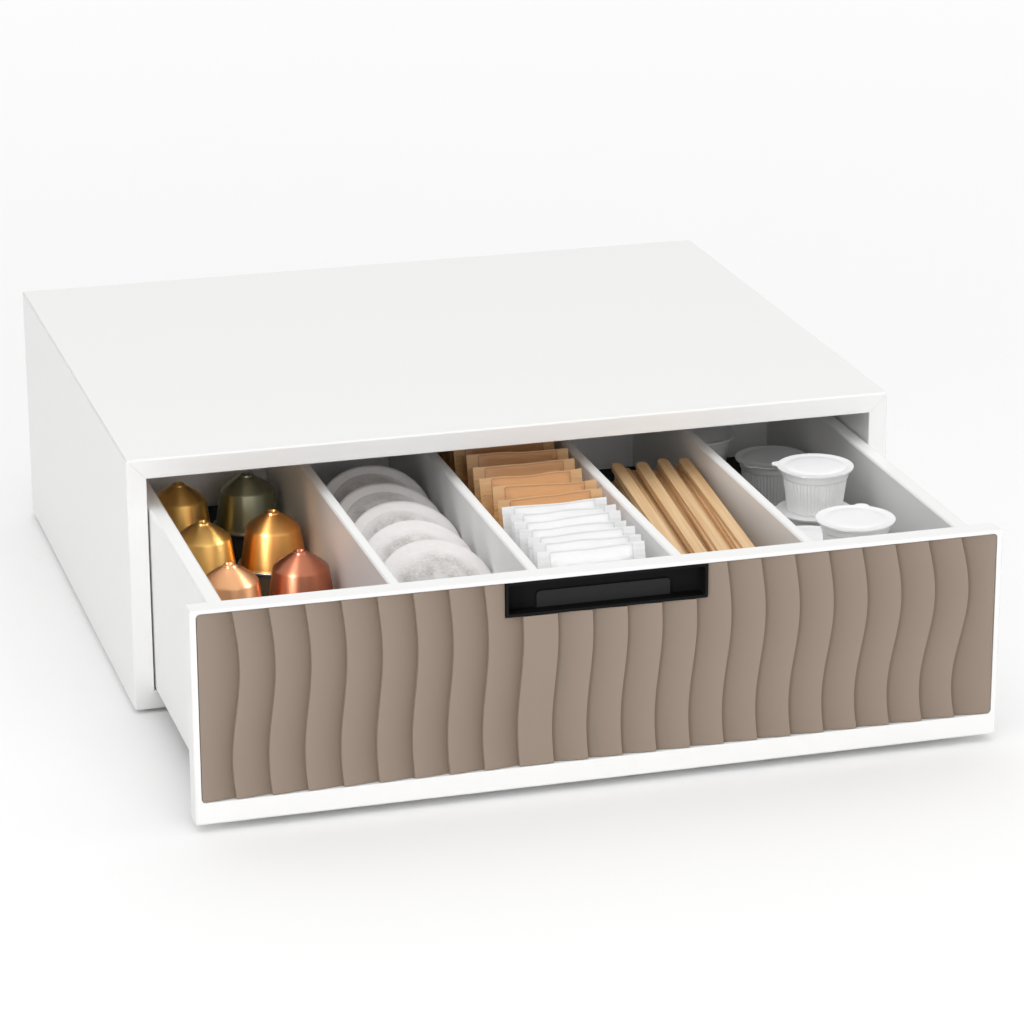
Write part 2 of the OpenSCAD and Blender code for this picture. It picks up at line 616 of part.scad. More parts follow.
// Stirrers: layers of four lying a little askew along the bay; the top two layers are spread wider
stir_back = bay_end - 0.352*depth;
stir_turn = -6;
stir_count = 4;
stir_layers = 18;
stir_spread = bay_w(3) - stir_len*sin(6.5) - stir_w - 2*rest_gap;  // from a layer's first stirrer to its last
function stir_pitch(k) = stir_spread * (k < stir_layers - 2 ? 0.28 : 0.325);
function stir_shift(k) = stir_spread * (k < stir_layers - 2 ? 0.06*(2*(k % 2) - 1) : 0.01);
module stirrer(x, y, z, turn) translate([x, y, z]) rotate([0, 0, turn]) translate([-stir_w/2, -stir_len/2, 0]) {
    translate([0, stir_w/2, 0]) cube([stir_w, stir_len - stir_w, stir_t]);
    for (e = [stir_w/2, stir_len - stir_w/2]) translate([stir_w/2, e, 0]) cylinder(d = stir_w, h = stir_t);
}
module stirrers() color("burlywood")
    for (k = [0 : stir_layers - 1], i = [0 : stir_count - 1])
        stirrer(bay_mid(3) + (i - (stir_count - 1)/2)*stir_pitch(k) + stir_shift(k),
            stir_back - stir_len/2 + 3*sin(90*i*i + 75*k), bed_z + k*(stir_t + 0.02), stir_turn + 0.4*sin(130*k));

// Creamer cups: [part of the depth from the back, part of the slack beside a cup, level, direction of the tab]
tub_lid_t = 0.4;
tub_flange_t = 0.9;
tub_ribs = 36;
tub_slack = (bay_w(4) - tub_d)/2 - 0.5;
tub_at = [[0.088, -0.75, 0, 20], [0.27, 0.76, 0, 215], [0.59, 0.26, 0, 160], [0.59, 0.26, 1, 155],
    [0.745, -0.88, 0, 40], [0.894, -0.35, 0, 70], [0.894, -0.35, 1, 60]];
function tub_place(t) = [bay_mid(4) + t[1]*tub_slack, bay_end - t[0]*depth, bed_z + t[2]*(tub_h + tub_lid_t)];
module tub() {
    ridge = 0.35;
    foot_r = tub_d/2 * 0.72;
    neck_r = tub_d/2 * 0.87;
    linear_extrude(tub_h - tub_flange_t, scale = neck_r/foot_r)
        polygon([for (i = [0 : 2*tub_ribs - 1]) let (r = foot_r - (i % 2)*ridge, a = 180*i/tub_ribs)
            [r*cos(a), r*sin(a)]]);
    translate([0, 0, tub_h - tub_flange_t]) cylinder(d = tub_d - 0.4, h = tub_flange_t);
}
module creamer_cups() color(white) for (t = tub_at) translate(tub_place(t)) tub();
module creamer_lids() color("whitesmoke") for (t = tub_at) translate(tub_place(t) + [0, 0, tub_h]) {
    cylinder(d = tub_d, h = tub_lid_t);
    rotate([0, 0, t[3]]) translate([tub_d/2 - 1, 0, 0]) cylinder(d = tub_d/5, h = tub_lid_t);
}

cabinet_top();
cabinet_bottom();
cabinet_left_side();
cabinet_right_side();
cabinet_back();
back_panel_screws();
cabinet_feet();
runner_batten_left();
runner_batten_right();
batten_screws();
runner_outer_left();
runner_outer_right();
outer_runner_screws();
ball_cage_left();
ball_cage_right();
bearing_balls_left();
bearing_balls_right();
runner_inner_left();
runner_inner_right();
inner_runner_screws();
drawer_front();
wave_panel();
handle_cup();
drawer_left_side();
drawer_right_side();
drawer_back();
drawer_floor();
floor_liner();
divider_1();
divider_2();
divider_3();
divider_4();
capsule_back_left();
capsule_back_right();
capsule_mid_left();
capsule_mid_right();
capsule_front_left();
capsule_front_right();
capsule_foils();
coffee_pads();
brown_sachets();
white_sachets();
stirrers();
creamer_cups();
creamer_lids();
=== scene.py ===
import math
import random
from functools import partialmethod

import bmesh
import bpy
from bpy.props import FloatProperty, FloatVectorProperty, IntProperty, PointerProperty, StringProperty
from mathutils import Matrix, Vector, noise


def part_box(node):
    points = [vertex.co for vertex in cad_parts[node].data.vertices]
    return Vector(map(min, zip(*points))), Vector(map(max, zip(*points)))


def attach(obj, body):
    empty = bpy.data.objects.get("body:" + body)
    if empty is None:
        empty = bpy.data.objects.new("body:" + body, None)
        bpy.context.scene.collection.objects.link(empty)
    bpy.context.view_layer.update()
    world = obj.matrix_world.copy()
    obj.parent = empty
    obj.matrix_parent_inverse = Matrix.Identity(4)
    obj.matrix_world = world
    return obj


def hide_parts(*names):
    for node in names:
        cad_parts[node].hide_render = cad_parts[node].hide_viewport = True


bl_info = {
    "name": "Coffee Pod Drawer",
    "version": (1, 0, 0),
    "blender": (4, 5, 0),
    "location": "3D View > Sidebar > Pod Drawer",
    "description": "Dresses the coffee pod drawer: relief front, finishes, contents and studio",
    "category": "Object",
}

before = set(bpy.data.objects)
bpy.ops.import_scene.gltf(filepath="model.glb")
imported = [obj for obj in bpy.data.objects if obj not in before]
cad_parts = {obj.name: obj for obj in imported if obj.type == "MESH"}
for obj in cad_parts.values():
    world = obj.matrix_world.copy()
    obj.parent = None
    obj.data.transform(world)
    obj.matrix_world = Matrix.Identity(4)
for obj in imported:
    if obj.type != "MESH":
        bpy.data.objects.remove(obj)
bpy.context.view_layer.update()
MM = 0.001

# Sizes read from the solids
PANEL_LOW, PANEL_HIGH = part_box("wave_panel")
CUP_LOW, CUP_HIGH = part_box("handle_cup")
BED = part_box("floor_liner")[1][2]
BAY_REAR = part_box("drawer_back")[0][1]
BAY_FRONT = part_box("drawer_front")[1][1]
DEPTH = BAY_REAR - BAY_FRONT

# The five bays from left to right: left and right side of each. The capsules' bay is the first
WALLS = ("drawer_left_side", "divider_1", "divider_2", "divider_3", "divider_4", "drawer_right_side")
BAYS = [(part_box(left)[1][0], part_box(right)[0][0]) for left, right in zip(WALLS, WALLS[1:])]
PAD_BAY, SACHET_BAY, STIRRER_BAY, CREAMER_BAY = 1, 2, 3, 4


def middle(bay):
    return (BAYS[bay][0] + BAYS[bay][1]) / 2


def width(bay):
    return BAYS[bay][1] - BAYS[bay][0]


# ---- small helpers ----


def linear(hex_colour):
    """Linear colour of an sRGB hex value such as "#ededeb"."""
    parts = [int(hex_colour[i : i + 2], 16) / 255 for i in (1, 3, 5)]
    return tuple(c / 12.92 if c <= 0.04045 else ((c + 0.055) / 1.055) ** 2.4 for c in parts) + (1.0,)


def clamp(t):
    return max(0.0, min(1.0, t))


def eased(t):
    """Rises from 0 to 1 with soft ends."""
    t = clamp(t)
    return t * t * (3 - 2 * t)


def add(tree, kind, *values, named=None, **settings):
    """Adds a node with its settings; values go to its inputs by place, and named ones by name."""
    node = tree.nodes.new(kind)
    for key, value in settings.items():
        setattr(node, key, value)
    for key, value in list(enumerate(values)) + list((named or {}).items()):
        if value is None:
            continue
        if isinstance(value, Worked):
            value = value.socket
        if isinstance(value, bpy.types.Node):
            value = value.outputs[0]
        if isinstance(value, bpy.types.NodeSocket):
            tree.links.new(value, node.inputs[key])
        else:
            node.inputs[key].default_value = value
    return node


class Worked:
    """A number that nodes work out, so that a rule can be written as a formula."""

    def __init__(self, tree, socket):
        self.tree, self.socket = tree, socket

    def by(self, operation, *others):
        """What an operation makes of this number and others."""
        node = add(self.tree, "ShaderNodeMath", self, *others, operation=operation)
        return Worked(self.tree, node.outputs[0])

    __neg__ = partialmethod(by, "MULTIPLY", -1)
    __add__ = partialmethod(by, "ADD")
    __sub__ = partialmethod(by, "SUBTRACT")
    __mul__ = partialmethod(by, "MULTIPLY")
    __truediv__ = partialmethod(by, "DIVIDE")
    __pow__ = partialmethod(by, "POWER")
    __lt__ = partialmethod(by, "LESS_THAN")
    __gt__ = partialmethod(by, "GREATER_THAN")


def mesh_object(name, verts, faces, smooth=True):
    mesh = bpy.data.meshes.new(name)
    mesh.from_pydata([tuple(v) for v in verts], [], faces)
    mesh.validate()
    obj = bpy.data.objects.new(name, mesh)
    bpy.context.scene.collection.objects.link(obj)
    mesh.shade_smooth() if smooth else mesh.shade_flat()
    return obj


def store(obj, name, kind, values):
    """Keeps a list of values, one for each point of the mesh, as an attribute."""
    layer = obj.data.attributes.new(name, kind, "POINT")
    layer.data.foreach_set("vector" if kind == "FLOAT_VECTOR" else "value", values)


def outward(obj, merge=1e-6):
    """Merges doubles and turns every face outwards."""
    work = bmesh.new()
    work.from_mesh(obj.data)
    bmesh.ops.remove_doubles(work, verts=work.verts, dist=merge)
    bmesh.ops.recalc_face_normals(work, faces=work.faces)
    work.to_mesh(obj.data)
    work.free()
    obj.data.shade_smooth()


def crisp(obj, degrees):
    """Marks the edges that turn by more than an angle as sharp."""
    work = bmesh.new()
    work.from_mesh(obj.data)
    limit = math.radians(degrees)
    for edge in work.edges:
        edge.smooth = len(edge.link_faces) == 2 and edge.calc_face_angle(0) < limit
    work.to_mesh(obj.data)
    work.free()


def place(obj, slot, *nodes):
    """Puts a finished piece in the drawer, in place of the nodes it stands for."""
    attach(obj, "drawer")
    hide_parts(*nodes)


def coat(material, *nodes):
    """Gives solids of the frame a finish."""
    for node in nodes:
        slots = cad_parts[node].material_slots
        for slot in slots:
            slot.material = material
        if not slots:
            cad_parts[node].data.materials.append(material)


def lathe(profile, turns, ribs=None):
    """Points and faces of a profile of (radius, height) turned about Z; ribs changes a radius by place."""
    verts, faces, rings = [], [], []
    for row, (r, z) in enumerate(profile):
        if r == 0:
            rings.append([len(verts)])
            verts.append((0, 0, z))
            continue
        rings.append([len(verts) + k for k in range(turns)])
        for k in range(turns):
            a = 2 * math.pi * k / turns
            rr = r + (ribs(row, k) if ribs else 0)
            verts.append((rr * math.cos(a), rr * math.sin(a), z))
    for low, high in zip(rings, rings[1:]):
        for k in range(turns):
            n = (k + 1) % turns
            if len(low) == 1 and len(high) == 1:
                continue
            if len(low) == 1:
                faces.append((low[0], high[n], high[k]))
            elif len(high) == 1:
                faces.append((low[k], low[n], high[0]))
            else:
                faces.append((low[k], low[n], high[n], high[k]))
    return verts, faces


def rounded(points, radius, steps):
    """A profile with its corners rounded by a small radius."""
    out = [points[0]]
    for before, here, after in zip(points, points[1:], points[2:]):
        b, h, a = Vector(before), Vector(here), Vector(after)
        cut = min(radius, (b - h).length * 0.45, (a - h).length * 0.45)
        start, stop = h + (b - h).normalized() * cut, h + (a - h).normalized() * cut
        for k in range(steps + 1):
            t = k / steps
            out.append(tuple(start * (1 - t) ** 2 + h * 2 * t * (1 - t) + stop * t * t))
    out.append(points[-1])
    return out


def moved(verts, matrix):
    return [matrix @ Vector(v) for v in verts]


def joined(parts):
    """One list of points and faces from several."""
    verts, faces = [], []
    for v, f in parts:
        base = len(verts)
        verts += list(v)
        faces += [tuple(i + base for i in face) for face in f]
    return verts, faces


# ---- values a user would change ----


def colour(name, where, default):
    return StringProperty(name=name, description=f"Colour of {where}", default=default)


def amount(name, description, default, unit="NONE"):
    return FloatProperty(name=name, description=description, default=default, unit=unit)


def number(name, description, default, low, high):
    return IntProperty(name=name, description=description, default=default, min=low, max=high)


class PodDrawerFinish(bpy.types.PropertyGroup):
    white: colour("White lacquer", "the cabinet and the drawer", "#f3f3f2")
    taupe: colour("Taupe lacquer", "the relief panel", "#8f7e6f")
    # The grooves' colour is painted shade, darker where the relief is deep
    groove_shade: colour("Taupe in the grooves", "the grooves, where lacquer gathers", "#796858")
    black: colour("Handle cup", "the handle cup", "#030303")
    # The pad's lighter colour is a painted highlight
    finger_pad_highlight: colour("Finger pad", "the raised pad in the cup", "#2a2a2b")
    liner: colour("Liner", "the drawer's floor liner", "#141414")


class PodDrawerRelief(bpy.types.PropertyGroup):
    waves: number("Waves", "Number of waves across the panel", 23, 3, 41)
    depth: amount("Relief", "Height of a crest above a valley", 0.0020, "LENGTH")
    swing_left: amount("Swing left", "Sideways swing at the left", 0.0024, "LENGTH")
    swing_mid: amount("Swing middle", "Sideways swing in the middle", 0.0017, "LENGTH")
    swing_right: amount("Swing right", "Sideways swing at the right", 0.004, "LENGTH")
    columns: number("Columns", "Facets across a wave", 10, 2, 24)
    rows: number("Rows", "Points from the bottom to the top", 56, 8, 200)


class PodDrawerContents(bpy.types.PropertyGroup):
    gold: colour("Gold", "the back left and middle left capsules", "#ffd17c")
    green: colour("Green", "the back right capsule", "#a9ad93")
    amber: colour("Amber", "the middle right capsule", "#efb368")
    copper: colour("Copper", "the front left capsule", "#f2b787")
    rose: colour("Rose brown", "the front right capsule", "#bb775b")
    filter_paper: colour("Filter paper", "the coffee pads' rims", "#e4e1e0")
    kraft: colour("Kraft", "the brown sachets where they bulge", "#cd9358")
    paper: colour("Paper", "the white sachets where they bulge", "#f0f0f0")
    birch: colour("Birch", "the stirrers' pale grain", "#eacb9f")
    seed: number("Seed", "Seed of the small differences between like pieces", 7, 0, 9999)


class PodDrawerStage(bpy.types.PropertyGroup):
    lens: amount("Lens", "Focal length on a 36 mm sensor", 132.943)
    eye: FloatVectorProperty(
        name="Eye", description="Place of the camera", default=(-0.49886, -1.83457, 0.71062), unit="LENGTH"
    )
    yaw: amount("Yaw", "Turn of the view to the right", 0.27620, "ROTATION")
    pitch: amount("Pitch", "Tilt of the view downwards", 0.32962, "ROTATION")
    roll: amount("Roll", "Roll of the view", -0.00475, "ROTATION")
    sky_low: amount("Sky at the horizon", "Strength of the studio light from the sides", 0.07)
    sky_high: amount("Sky overhead", "Strength of the studio light from above", 1.54)
    mirrored: amount("Mirrored sky", "Share of the sky that shiny pieces mirror", 0.75)
    front: amount("Front light", "Power of the soft light in front, in watts", 11.0)
    glint: amount("Glint lights", "Power of the strips that only shiny pieces mirror, in watts", 125.0)


# ---- finishes ----


def shader(name, hex_colour, roughness, **settings):
    """A material with one Principled shader; returns the material, its tree and that shader."""
    material = bpy.data.materials.new(name)
    material.use_nodes = True
    tree = material.node_tree
    bsdf = tree.nodes["Principled BSDF"]
    bsdf.inputs["Base Color"].default_value = linear(hex_colour)
    bsdf.inputs["Roughness"].default_value = roughness
    for key, value in settings.items():
        bsdf.inputs[key.replace("_", " ").title().replace("Ior", "IOR")].default_value = value
    return material, tree, bsdf


def speckle(tree, scale, detail=2.0, **named):
    """Noise on the piece's own coordinates, scale in cells per metre."""
    coords = add(tree, "ShaderNodeTexCoord").outputs["Object"]
    look = {"Vector": coords, "Scale": scale, "Detail": detail, **named}
    return Worked(tree, add(tree, "ShaderNodeTexNoise", named=look).outputs["Fac"])


def own_place(tree):
    """X, Y and Z on the piece."""
    at = add(tree, "ShaderNodeSeparateXYZ", add(tree, "ShaderNodeTexCoord").outputs["Object"])
    return [Worked(tree, socket) for socket in at.outputs]


def marked(tree, name):
    """The value that the piece's mesh carries under a name."""
    return Worked(tree, add(tree, "ShaderNodeAttribute", attribute_name=name).outputs["Fac"])


def bump(tree, bsdf, height, strength, distance, edges=None):
    """Roughens the surface; edges rounds the solid's edges by that radius."""
    last = add(tree, "ShaderNodeBevel", edges, samples=6) if edges else None
    sockets = {"Height": height, "Strength": strength, "Distance": distance, "Normal": last}
    tree.links.new(add(tree, "ShaderNodeBump", named=sockets).outputs["Normal"], bsdf.inputs["Normal"])


def tint(tree, bsdf, factor, *stops):
    """Colours the surface along a ramp of (place, colour) stops."""
    ramp = add(tree, "ShaderNodeValToRGB", factor)
    steps = ramp.color_ramp.elements
    for at, _ in stops[1:-1]:
        steps.new(at)
    for step, (at, hex_colour) in zip(steps, stops):
        step.position, step.color = at, linear(hex_colour)
    tree.links.new(ramp.outputs["Color"], bsdf.inputs["Base Color"])


class POD_OT_finishes(bpy.types.Operator):
    """Makes the finishes and puts them on the rigid pieces"""

    bl_idname = "pod_drawer.finishes"
    bl_label = "Finishes"

    # The cup's pad: half its width, where its face lies in the cup, and its lower and upper edge
    pad_half_width = 34 * MM
    pad_face = (CUP_HIGH[1] - 2.8 * MM, CUP_HIGH[1] - 2.2 * MM)
    pad_rise = (CUP_LOW[2] + 1.2 * MM, CUP_LOW[2] + 9.6 * MM)

    def execute(self, context):
        finish = context.scene.pod_finish

        # Satin polyurethane lacquer, sprayed on fibreboard: even, softly shiny, a faint 3 mm orange peel
        white, tree, bsdf = shader("White sprayed lacquer", finish.white, 0.38, ior=1.5)
        bump(tree, bsdf, speckle(tree, 350.0), 0.05, 0.2 * MM, edges=0.7 * MM)
        coat(white, "cabinet_top", "cabinet_bottom", "cabinet_left_side", "cabinet_right_side",
             "cabinet_back", "drawer_front", "drawer_back", "drawer_floor", *WALLS)

        # Matt lacquer on a carved panel, with painted shade in the grooves: the colour darkens with the depth
        # of the relief
        taupe, tree, bsdf = shader("Taupe matt lacquer", finish.taupe, 0.62, ior=1.45)
        deep = PANEL_LOW[1] + context.scene.pod_relief.depth
        groove_shade = add(tree, "ShaderNodeMapRange", own_place(tree)[1], PANEL_LOW[1], deep, 0.0, 1.0)
        tint(tree, bsdf, groove_shade, (0.0, finish.taupe), (1.0, finish.groove_shade))

        # Moulded ABS cup: near black; the raised pad is painted a lighter grey, a painted highlight for the
        # light it catches
        cup, tree, bsdf = shader("Black moulded ABS", finish.black, 0.55, ior=1.5, specular_ior_level=0.1)
        x, y, z = own_place(tree)
        pad_highlight_mask = x.by("ABSOLUTE") < self.pad_half_width
        for along, (low, high) in ((y, self.pad_face), (z, self.pad_rise)):
            pad_highlight_mask = pad_highlight_mask * (along > low) * (along < high)
        mix = add(tree, "ShaderNodeMix", pad_highlight_mask, data_type="RGBA")
        cup_and_pad = [s for s in mix.inputs if s.type == "RGBA"]
        for socket, tone in zip(cup_and_pad, (finish.black, finish.finger_pad_highlight)):
            socket.default_value = linear(tone)
        tree.links.new([s for s in mix.outputs if s.type == "RGBA"][0], bsdf.inputs["Base Color"])
        coat(cup, "handle_cup")

        # Thin rubber-backed liner: dull and near black, with a 0.7 mm grain
        liner, tree, bsdf = shader("Dark drawer liner", finish.liner, 0.7)
        bump(tree, bsdf, speckle(tree, 1500.0), 0.2, 0.2 * MM)
        coat(liner, "floor_liner")

        # Cold-rolled steel with bright zinc plating: greyish, fairly sharp reflections
        zinc = shader("Bright zinc plated steel", "#c4c7c9", 0.3, metallic=1.0)[0]
        coat(zinc, "runner_outer_left", "runner_outer_right", "runner_inner_left", "runner_inner_right",
             "ball_cage_left", "ball_cage_right", "back_panel_screws", "batten_screws",
             "outer_runner_screws", "inner_runner_screws")
        # Ground and polished balls: mirror bright
        steel = shader("Polished bearing steel", "#d5d6d8", 0.08, metallic=1.0)[0]
        coat(steel, "bearing_balls_left", "bearing_balls_right")
        # Sawn birch plywood battens: pale and dull
        coat(shader("Bare birch plywood", "#c8a877", 0.6)[0], "runner_batten_left", "runner_batten_right")
        # Moulded rubber pads: grey and dull
        coat(shader("Grey rubber", "#5a5a5a", 0.8)[0], "cabinet_feet")
        return {"FINISHED"}


# ---- relief panel ----


def geometry_group(name, sizes, counts):
    """A node group with named sizes and counts; returns it, its inputs by name and their identifiers."""
    tree = bpy.data.node_groups.new(name, "GeometryNodeTree")
    face = tree.interface
    for way in ("INPUT", "OUTPUT"):
        face.new_socket("Geometry", in_out=way, socket_type="NodeSocketGeometry")
    ids = {}
    for kind, names in (("NodeSocketFloat", sizes), ("NodeSocketInt", counts)):
        for key in names:
            ids[key] = face.new_socket(key, in_out="INPUT", socket_type=kind).identifier
    given = {socket.name: Worked(tree, socket) for socket in add(tree, "NodeGroupInput").outputs}
    return tree, given, ids


def run_group(maker, tree, ids, values, name):
    """Runs a node group on an object with its values and gives the result as a plain object."""
    modifier = maker.modifiers.new(tree.name, "NODES")
    modifier.node_group = tree
    for key, value in values.items():
        modifier[ids[key]] = value
    graph = bpy.context.evaluated_depsgraph_get()
    shown = maker.evaluated_get(graph)
    mesh = bpy.data.meshes.new_from_object(shown, preserve_all_data_layers=True, depsgraph=graph)
    if not mesh.polygons:
        raise RuntimeError(f"{name} came out empty")
    mesh.name = name
    obj = bpy.data.objects.new(name, mesh)
    bpy.context.scene.collection.objects.link(obj)
    bpy.data.objects.remove(maker)
    return obj


class POD_OT_relief(bpy.types.Operator):
    """Makes the wavy relief panel by rule"""

    bl_idname = "pod_drawer.relief"
    bl_label = "Relief panel"

    notch_gap = 0.3 * MM  # between the panel and the handle cup
    half_step = 0.18 * MM  # half the width of the step between two waves
    swing_top = 0.7  # where on the panel's height a wave swings furthest right
    swing_length = 1.02  # height of one whole swing, in panels
    fall = 1.4  # 1 gives flat ramps from crest to valley, more gives rounded ones
    aside = 2  # the flat wave is this many waves left of the middle
    crease = 28  # degrees from which an edge is sharp

    def execute(self, context):
        relief = context.scene.pod_relief
        sizes = {
            "Width": PANEL_HIGH[0] - PANEL_LOW[0], "Low": PANEL_LOW[2], "High": PANEL_HIGH[2],
            "Crest": PANEL_LOW[1], "Back": PANEL_HIGH[1], "Relief": relief.depth,
            "Swing left": relief.swing_left, "Swing middle": relief.swing_mid,
            "Swing right": relief.swing_right,
            "Notch half width": (CUP_HIGH[0] - CUP_LOW[0]) / 2 + self.notch_gap,
            "Notch height": CUP_LOW[2] - self.notch_gap,
        }
        counts = {"Waves": relief.waves, "Columns": relief.columns, "Rows": relief.rows}
        tree, given, ids = geometry_group("Wave relief", sizes, counts)

        span, waves, facets = given["Width"], given["Waves"], given["Columns"]
        swing_left, swing_mid, swing_right = (given[f"Swing {at}"] for at in ("left", "middle", "right"))

        # A box with one column of points for each facet edge, shaped by the rule below
        per_wave = facets + 1
        columns = waves * per_wave
        box = add(tree, "GeometryNodeMeshCube", (1, 1, 1), columns, 2, given["Rows"])
        point = add(tree, "ShaderNodeSeparateXYZ", add(tree, "GeometryNodeInputPosition"))
        across, rear, height = (Worked(tree, socket) + 0.5 for socket in point.outputs)
        column = (across * (columns - 1)).by("ROUND")
        wave = ((column + 0.5) / per_wave).by("FLOOR")
        share = (column - wave * per_wave) / facets

        # Sideways swing of an edge: one slow wave down the panel, scaled by its place across it
        turn = ((-height + self.swing_top) * (2 * math.pi / self.swing_length)).by("COSINE")
        lean = (swing_right - swing_left) / 2
        bow = (swing_right + swing_left) / 2 - swing_mid

        def edge(count):
            x = span * (count / waves - 0.5)
            s = x * 2 / span
            swing = swing_mid + s * lean + s * s * bow
            # The panel's own two sides stay straight
            free = (count > 0.5) * (count < waves - 0.5)
            return x + swing * turn * free, free * self.half_step

        left, left_step = edge(wave)
        right, right_step = edge(wave + 1)
        left, right = left + left_step, right - right_step
        x = left + share * (right - left)

        # Waves left of the flat one fall to the right, and those right of it to the left
        flat_wave = (waves - 1) / 2 - self.aside
        falls = (wave < flat_wave - 0.5) * share ** self.fall
        rises = (wave > flat_wave + 0.5) * (-share + 1).by("MAXIMUM", 0) ** self.fall
        front = given["Crest"] + given["Relief"] * (falls + rises)
        y = front + rear * (given["Back"] - front)
        z = given["Low"] + height * (given["High"] - given["Low"])
        spot = add(tree, "ShaderNodeCombineXYZ", x, y, z)
        shaped = add(tree, "GeometryNodeSetPosition", box, named={"Position": spot})

        # Notch for the handle cup, cut by a block that stands well above the panel
        tall = 0.1
        block = add(tree, "ShaderNodeCombineXYZ", given["Notch half width"] * 2, tall, tall)
        block_at = add(tree, "ShaderNodeCombineXYZ", 0.0, given["Back"], given["Notch height"] + tall / 2)
        cube = add(tree, "GeometryNodeMeshCube", block)
        cutter = add(tree, "GeometryNodeTransform", cube, named={"Translation": block_at})
        notched = add(tree, "GeometryNodeMeshBoolean", shaped, cutter, operation="DIFFERENCE")
        bent = Worked(tree, add(tree, "GeometryNodeInputMeshEdgeAngle").outputs["Unsigned Angle"])
        sharp = bent > math.radians(self.crease)
        round_faces = add(tree, "GeometryNodeSetShadeSmooth", notched, domain="FACE")
        creased = add(tree, "GeometryNodeSetShadeSmooth", round_faces, sharp, False, domain="EDGE")
        real = add(tree, "GeometryNodeRealizeInstances", creased)
        taupe = bpy.data.materials["Taupe matt lacquer"]
        add(tree, "NodeGroupOutput", add(tree, "GeometryNodeSetMaterial", real, named={"Material": taupe}))

        maker = mesh_object("relief_maker", [(0, 0, 0)], [])
        panel = run_group(maker, tree, ids, {**sizes, **counts}, "relief_panel")
        place(panel, "taupe_lacquer", "wave_panel")
        return {"FINISHED"}


# ---- contents ----


class POD_OT_capsules(bpy.types.Operator):
    """Makes the six coffee capsules"""

    bl_idname = "pod_drawer.capsules"
    bl_label = "Capsules"

    turns = 96

    def execute(self, context):
        contents = context.scene.pod_contents
        kinds = {
            "capsule_back_left": ("gold", "gold_anodised", contents.gold),
            "capsule_back_right": ("dark green", "green_anodised", contents.green),
            "capsule_mid_left": ("gold", "gold_anodised", contents.gold),
            "capsule_mid_right": ("amber", "amber_anodised", contents.amber),
            "capsule_front_left": ("copper", "copper_anodised", contents.copper),
            "capsule_front_right": ("rose brown", "rose_brown_anodised", contents.rose),
        }
        foils = []
        for node, (tone, slot, hex_colour) in kinds.items():
            metal = self.anodised(tone, hex_colour)
            low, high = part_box(node)
            r, h = (high[0] - low[0]) / 2, high[2] - low[2]
            # Rim, tapering wall, shoulder, dome and the small dimpled nub on top
            outline = [
                (0, 0.0004), (r - 0.0006, 0.0004), (r - 0.0006, 0.0014), (r - 0.0010, 0.0015),
                (r * 0.90 + 0.0003, 0.0013), (r * 0.90, 0.0019),
                (r * 0.895, 0.0034), (r * 0.755, h * 0.705), (r * 0.70, h * 0.745),
                (r * 0.60, h * 0.80), (r * 0.45, h * 0.872), (r * 0.30, h * 0.93), (r * 0.20, h * 0.96),
                (r * 0.185, h * 0.988), (r * 0.15, h), (r * 0.12, h - 0.0002),
                (r * 0.085, h - 0.0011), (0, h - 0.0012),
            ]
            verts, faces = lathe(rounded(outline, 0.9 * MM, 4), self.turns)
            spot = Matrix.Translation(((low[0] + high[0]) / 2, (low[1] + high[1]) / 2, low[2]))
            obj = mesh_object(node.replace("capsule", "pod"), moved(verts, spot), faces)
            outward(obj)
            obj.data.materials.append(metal)
            place(obj, slot, node)
            # The sealing foil closes the rim and is curled over its edge
            curl = [
                (0, 0.0), (r - 0.0003, 0.0), (r, 0.0004), (r, 0.0013), (r - 0.0004, 0.0017),
                (r - 0.0011, 0.0017), (r - 0.0011, 0.00155), (r - 0.00055, 0.0015),
                (r - 0.00055, 0.00035), (0, 0.00035),
            ]
            verts, faces = lathe(rounded(curl, 0.3 * MM, 3), self.turns)
            foils.append((moved(verts, spot), faces))
        lids = mesh_object("foil_lids", *joined(foils))
        outward(lids)
        # Plain foil, rolled thin: bright, with a soft sheen
        lids.data.materials.append(shader("Plain aluminium foil", "#d0d0d0", 0.32, metallic=1.0)[0])
        place(lids, "capsule_foil", "capsule_foils")
        return {"FINISHED"}

    def anodised(self, tone, hex_colour):
        """The metal of one tone, made once."""
        name = f"Deep drawn aluminium, {tone} anodised"
        if name in bpy.data.materials:
            return bpy.data.materials[name]
        # Thin deep-drawn aluminium, anodised: satin, its turned finish draws tall soft highlights
        drawn = {"metallic": 1.0, "anisotropic": 0.75, "anisotropic_rotation": 0.25}
        metal, tree, bsdf = shader(name, hex_colour, 0.42, **drawn)
        round_z = add(tree, "ShaderNodeTangent", direction_type="RADIAL", axis="Z")
        tree.links.new(round_z.outputs["Tangent"], bsdf.inputs["Tangent"])
        return metal


